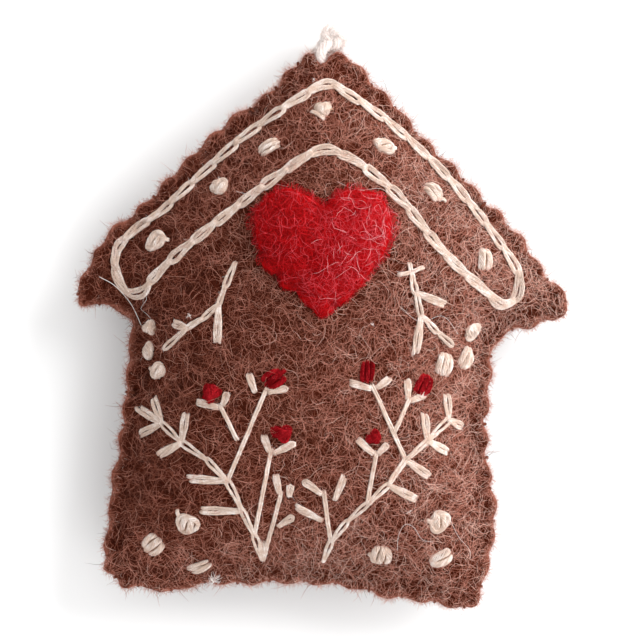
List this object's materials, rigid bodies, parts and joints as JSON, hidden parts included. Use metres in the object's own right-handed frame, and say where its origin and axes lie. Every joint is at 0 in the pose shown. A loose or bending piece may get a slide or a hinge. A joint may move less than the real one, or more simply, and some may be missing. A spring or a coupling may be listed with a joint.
{
  "type": "felt christmas ornament",
  "caption": "Stuffed felt house ornament: two whip-stitched felt panels over a soft filling, with a felt heart, embroidered sprigs, chain-stitch roof and a cord loop for hanging.",
  "frame": {"origin": "on the table under the middle of the house's outline, at the flat of its back", "axes": "+Z out of the embroidered front, +Y from the base to the roof peak, +X to the right seen from the front"},
  "size_m": [0.0879, 0.1032, 0.0296],
  "materials": {
    "brown_felt": "fuzzy brushed wool felt",
    "red_felt": "fuzzy brushed wool felt",
    "filling_wool": "loose wool filling, hidden",
    "brown_thread": "matte sewing thread sunk in the felt",
    "cream_floss": "soft stranded cotton with a slight sheen",
    "red_floss": "soft stranded cotton with a slight sheen",
    "cream_cord": "fuzzy twisted cotton cord"
  },
  "bodies": {
    "house": {"front_felt": "brown_felt", "back_felt": "brown_felt", "stuffing": "filling_wool", "edge_whipstitch": "brown_thread", "heart": "red_felt", "roof_chain_stitch": "cream_floss", "roof_knot_1": "cream_floss", "roof_knot_2": "cream_floss", "roof_knot_3": "cream_floss", "roof_knot_4": "cream_floss", "roof_knot_5": "cream_floss", "roof_knot_6": "cream_floss", "roof_knot_7": "cream_floss", "left_wall_knot_1": "cream_floss", "left_wall_knot_2": "cream_floss", "left_wall_knot_3": "cream_floss", "right_wall_knot_1": "cream_floss", "right_wall_knot_2": "cream_floss", "right_wall_knot_3": "cream_floss", "left_foot_knot_1": "cream_floss", "left_foot_knot_2": "cream_floss", "left_foot_knot_3": "cream_floss", "right_foot_knot_1": "cream_floss", "right_foot_knot_2": "cream_floss", "right_foot_knot_3": "cream_floss", "left_gable_sprig": "cream_floss", "right_gable_sprig": "cream_floss", "left_sprig": "cream_floss", "right_sprig": "cream_floss", "left_twig": "cream_floss", "left_bract_1": "cream_floss", "left_bract_2": "cream_floss", "left_bract_3": "cream_floss", "right_bract_1": "cream_floss", "right_bract_2": "cream_floss", "left_berry_1": "red_floss", "left_berry_2": "red_floss", "left_berry_3": "red_floss", "right_berry_1": "red_floss", "right_berry_2": "red_floss", "right_berry_3": "red_floss", "hanger_tail": "cream_cord", "hanger_knot": "cream_cord"},
    "hanger": {"hanger_loop": "cream_cord"}
  },
  "joints": [
    {"name": "hanger_swing", "type": "hinge", "parent": "house", "child": "hanger", "pos_m": [0.0025, 0.0517, 0.01115], "axis": [0, 0, 1], "range_deg": [-270, 0]}
  ]
}
